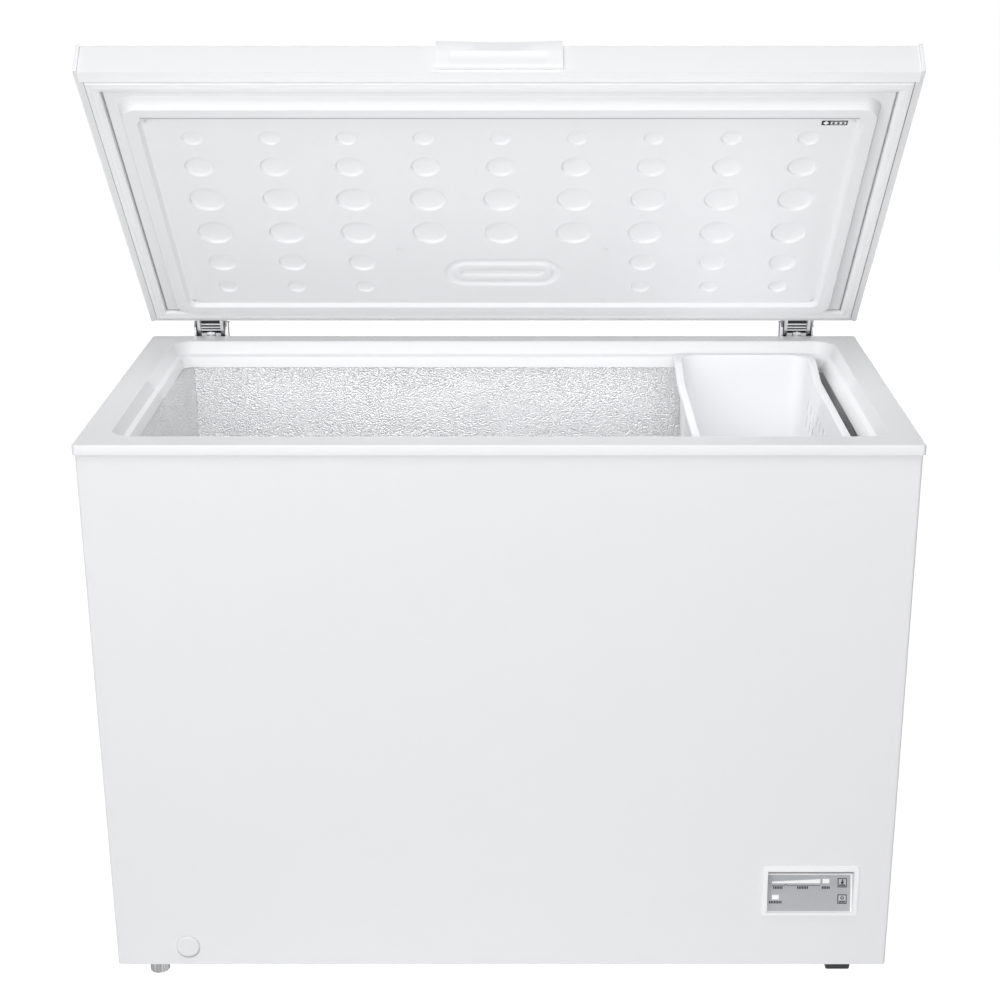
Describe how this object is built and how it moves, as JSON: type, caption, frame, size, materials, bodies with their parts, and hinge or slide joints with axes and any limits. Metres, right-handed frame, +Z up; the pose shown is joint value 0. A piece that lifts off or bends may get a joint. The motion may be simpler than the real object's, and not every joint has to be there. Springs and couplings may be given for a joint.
{
  "type": "chest freezer",
  "caption": "White chest freezer with its foam-filled lid propped open on spring hinges, a hanging basket, a recessed control panel, a drain and feet.",
  "frame": {"origin": "on the floor, under the middle of the box round the whole part as stored, lid open", "axes": "+X to the viewer's right, +Y to the back, +Z up"},
  "size_m": [1.1, 0.6122, 1.2809],
  "materials": {
    "white_paint": "gloss enamel",
    "galvanised_steel": "galvanised",
    "white_moulding": "satin moulded",
    "grey_moulding": "satin moulded",
    "lid_moulding": "vacuum formed",
    "embossed_aluminium": "stucco embossed",
    "foam": "foamed in place",
    "tube_metal": "drawn tube",
    "copper": "drawn tube",
    "black_enamel": "black enamel",
    "black_moulding": "moulded",
    "rubber": "moulded rubber",
    "seal": "soft extruded",
    "zinc_steel": "zinc plated",
    "board_green": "lacquered",
    "lamp_window": "smoked",
    "key_moulding": "moulded",
    "drain_moulding": "moulded",
    "foot_grey": "moulded"
  },
  "bodies": {
    "cabinet": {"base_pan": "galvanised_steel", "bay_bulkhead": "galvanised_steel", "cabinet_insulation": "foam", "compressor": "black_enamel", "compressor_bolts": "zinc_steel", "compressor_grommets": "rubber", "compressor_tray": "galvanised_steel", "condenser_coil": "tube_metal", "control_bezel": "white_moulding", "control_board": "board_green", "control_fascia": "grey_moulding", "cord_gland": "black_moulding", "discharge_line": "copper", "drain_tube": "drain_moulding", "evaporator_coil": "tube_metal", "filter_drier": "copper", "hinge_bracket_left": "zinc_steel", "hinge_bracket_right": "zinc_steel", "hinge_pin_left": "zinc_steel", "hinge_pin_right": "zinc_steel", "hinge_screws": "zinc_steel", "hinge_spring_left": "zinc_steel", "hinge_spring_right": "zinc_steel", "indicator_windows": "lamp_window", "inner_liner": "embossed_aluminium", "outer_shell": "white_paint", "rear_cover": "galvanised_steel", "rear_cover_screws": "zinc_steel", "rear_panel": "galvanised_steel", "right_feet": "black_moulding", "side_grille": "white_moulding", "suction_line": "copper", "terminal_cover": "black_moulding", "top_frame": "white_moulding"},
    "lid": {"lid_skin": "white_paint", "lid_end_cap_left": "white_moulding", "lid_end_cap_right": "white_moulding", "lid_liner": "lid_moulding", "lid_insulation": "foam", "lid_gasket": "seal", "lid_handle": "grey_moulding", "hinge_leaf_left": "zinc_steel", "hinge_leaf_right": "zinc_steel", "leaf_screws": "zinc_steel"},
    "basket": {"basket": "white_moulding"},
    "upper_key": {"upper_key": "key_moulding"},
    "lower_key": {"lower_key": "key_moulding"},
    "drain_cap": {"drain_cap": "drain_moulding"},
    "drain_stopper": {"drain_stopper": "drain_moulding"},
    "levelling_foot_front": {"levelling_foot_front": "foot_grey"},
    "levelling_foot_rear": {"levelling_foot_rear": "foot_grey"},
    "hinge_plunger_left": {"hinge_plunger_left": "zinc_steel"},
    "hinge_plunger_right": {"hinge_plunger_right": "zinc_steel"}
  },
  "joints": [
    {"name": "lid_hinge", "type": "hinge", "parent": "cabinet", "child": "lid", "pos_m": [0, 0.2911, 0.8173], "axis": [-1, 0, 0], "range_deg": [-47.04, 27.96]},
    {"name": "hinge_plunger_left_slide", "type": "slide", "parent": "cabinet", "child": "hinge_plunger_left", "axis": [0, 0, 1], "range_m": [-0.0099, 0.0059], "deforming": ["hinge_spring_left"]},
    {"name": "hinge_plunger_right_slide", "type": "slide", "parent": "cabinet", "child": "hinge_plunger_right", "axis": [0, 0, 1], "range_m": [-0.0099, 0.0059], "deforming": ["hinge_spring_right"]},
    {"name": "basket_slide", "type": "slide", "parent": "cabinet", "child": "basket", "axis": [1, 0, 0], "range_m": [-0.738, 0.008]},
    {"name": "upper_key_press", "type": "slide", "parent": "cabinet", "child": "upper_key", "axis": [0, 0.9664, -0.2571], "range_m": [0, 0.001], "stiffness_N_per_m": 400},
    {"name": "lower_key_press", "type": "slide", "parent": "cabinet", "child": "lower_key", "axis": [0, 0.9664, -0.2571], "range_m": [0, 0.001], "stiffness_N_per_m": 400},
    {"name": "drain_cap_pull", "type": "slide", "parent": "cabinet", "child": "drain_cap", "axis": [0, -1, 0], "range_m": [0, 0.025]},
    {"name": "drain_stopper_lift", "type": "slide", "parent": "cabinet", "child": "drain_stopper", "axis": [0, 0, 1], "range_m": [0, 0.03]},
    {"name": "levelling_foot_front_turn", "type": "hinge", "parent": "cabinet", "child": "levelling_foot_front", "pos_m": [-0.493, -0.2771, 0.011], "axis": [0, 0, 1], "continuous": true},
    {"name": "levelling_foot_rear_turn", "type": "hinge", "parent": "cabinet", "child": "levelling_foot_rear", "pos_m": [-0.493, 0.2369, 0.011], "axis": [0, 0, 1], "continuous": true}
  ],
  "couplings": [
    {"joint": "hinge_plunger_left_slide", "follows": "lid_hinge", "m_per_rad": 0.012},
    {"joint": "hinge_plunger_right_slide", "follows": "lid_hinge", "m_per_rad": 0.012}
  ]
}
